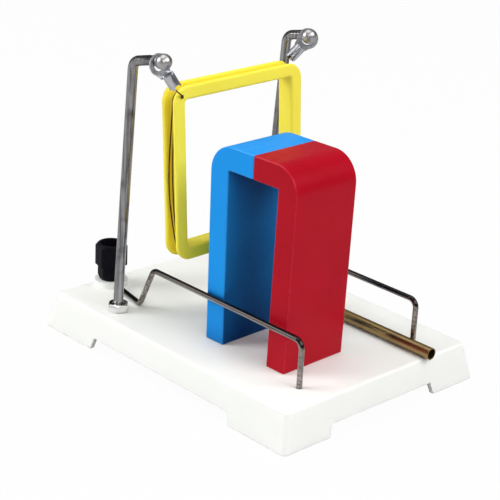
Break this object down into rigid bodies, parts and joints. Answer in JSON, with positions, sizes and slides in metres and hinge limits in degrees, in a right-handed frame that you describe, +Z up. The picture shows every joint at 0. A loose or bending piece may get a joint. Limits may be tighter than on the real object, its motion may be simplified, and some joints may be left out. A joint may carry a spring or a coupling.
{
  "type": "electromagnetic induction demonstration stand",
  "caption": "Classroom induction set: wound frame swinging from two bent rods, U magnet, wire rails and a loose brass tube on a white base with terminals.",
  "frame": {"origin": "middle of the base, at the surface that it stands on", "axes": "+X along the long side of the base, away from the terminals; +Y across the base, towards the brass tube; +Z up"},
  "size_m": [0.18, 0.132, 0.1595],
  "materials": {
    "white_plastic": "satin",
    "rod_steel": "polished",
    "fastener_steel": "polished",
    "zinc_steel": "satin",
    "yellow_plastic": "gloss",
    "enamelled_copper": "gloss",
    "tinned_metal": "satin",
    "rail_wire": "polished",
    "brass_tube": "satin",
    "blue_plastic": "gloss",
    "red_plastic": "gloss",
    "magnet_block": "matte",
    "yoke_steel": "matte",
    "black_plastic": "gloss",
    "red_knob_plastic": "gloss",
    "insert_brass": "satin",
    "nickel_plate": "polished",
    "black_insulation": "satin",
    "red_insulation": "satin"
  },
  "bodies": {
    "stand": {"base": "white_plastic", "upright_left": "rod_steel", "upright_right": "rod_steel", "upright_nuts": "fastener_steel", "upright_lower_nuts": "zinc_steel", "upright_washers": "zinc_steel", "dome_nuts": "fastener_steel", "rail_front": "rail_wire", "rail_back": "rail_wire", "rail_clips": "zinc_steel", "stud_black": "nickel_plate", "stud_red": "nickel_plate", "post_nuts": "zinc_steel", "post_washers": "zinc_steel", "solder_tags": "tinned_metal", "lead_black": "black_insulation", "lead_red": "red_insulation"},
    "swing": {"coil_frame": "yellow_plastic", "coil_wire": "enamelled_copper", "lug_left": "tinned_metal", "lug_right": "tinned_metal"},
    "tube": {"brass_tube": "brass_tube"},
    "magnet": {"magnet_cover_blue": "blue_plastic", "magnet_cover_red": "red_plastic", "magnet_yoke": "yoke_steel", "magnet_block_blue": "magnet_block", "magnet_block_red": "magnet_block", "pole_cap_blue": "blue_plastic", "pole_cap_red": "red_plastic"},
    "ring_black": {"clamp_ring_black": "nickel_plate"},
    "knob_black": {"knob_black": "black_plastic", "knob_insert_black": "insert_brass"},
    "ring_red": {"clamp_ring_red": "nickel_plate"},
    "knob_red": {"knob_red": "red_knob_plastic", "knob_insert_red": "insert_brass"}
  },
  "joints": [
    {"name": "coil_swing", "type": "hinge", "parent": "stand", "child": "swing", "pos_m": [-0.0205, 0, 0.15635], "axis": [0, 1, 0], "range_deg": [-8, 20]},
    {"name": "magnet_lift", "type": "slide", "parent": "stand", "child": "magnet", "axis": [0, 0, 1], "range_m": [0, 0.145]},
    {"name": "tube_lift", "type": "slide", "parent": "stand", "child": "tube", "axis": [0, 0, 1], "range_m": [0, 0.145]},
    {"name": "rise_black", "type": "slide", "parent": "stand", "child": "ring_black", "axis": [0, 0, 1], "range_m": [0, 0.0025]},
    {"name": "turn_black", "type": "hinge", "parent": "ring_black", "child": "knob_black", "pos_m": [-0.078, -0.0326, 0.0305], "axis": [0, 0, 1], "range_deg": [0, 900]},
    {"name": "rise_red", "type": "slide", "parent": "stand", "child": "ring_red", "axis": [0, 0, 1], "range_m": [0, 0.0025]},
    {"name": "turn_red", "type": "hinge", "parent": "ring_red", "child": "knob_red", "pos_m": [-0.078, 0.05, 0.0305], "axis": [0, 0, 1], "range_deg": [0, 900]}
  ],
  "couplings": [
    {"joint": "rise_black", "follows": "turn_black", "m_per_rad": 0.00015915},
    {"joint": "rise_red", "follows": "turn_red", "m_per_rad": 0.00015915}
  ]
}
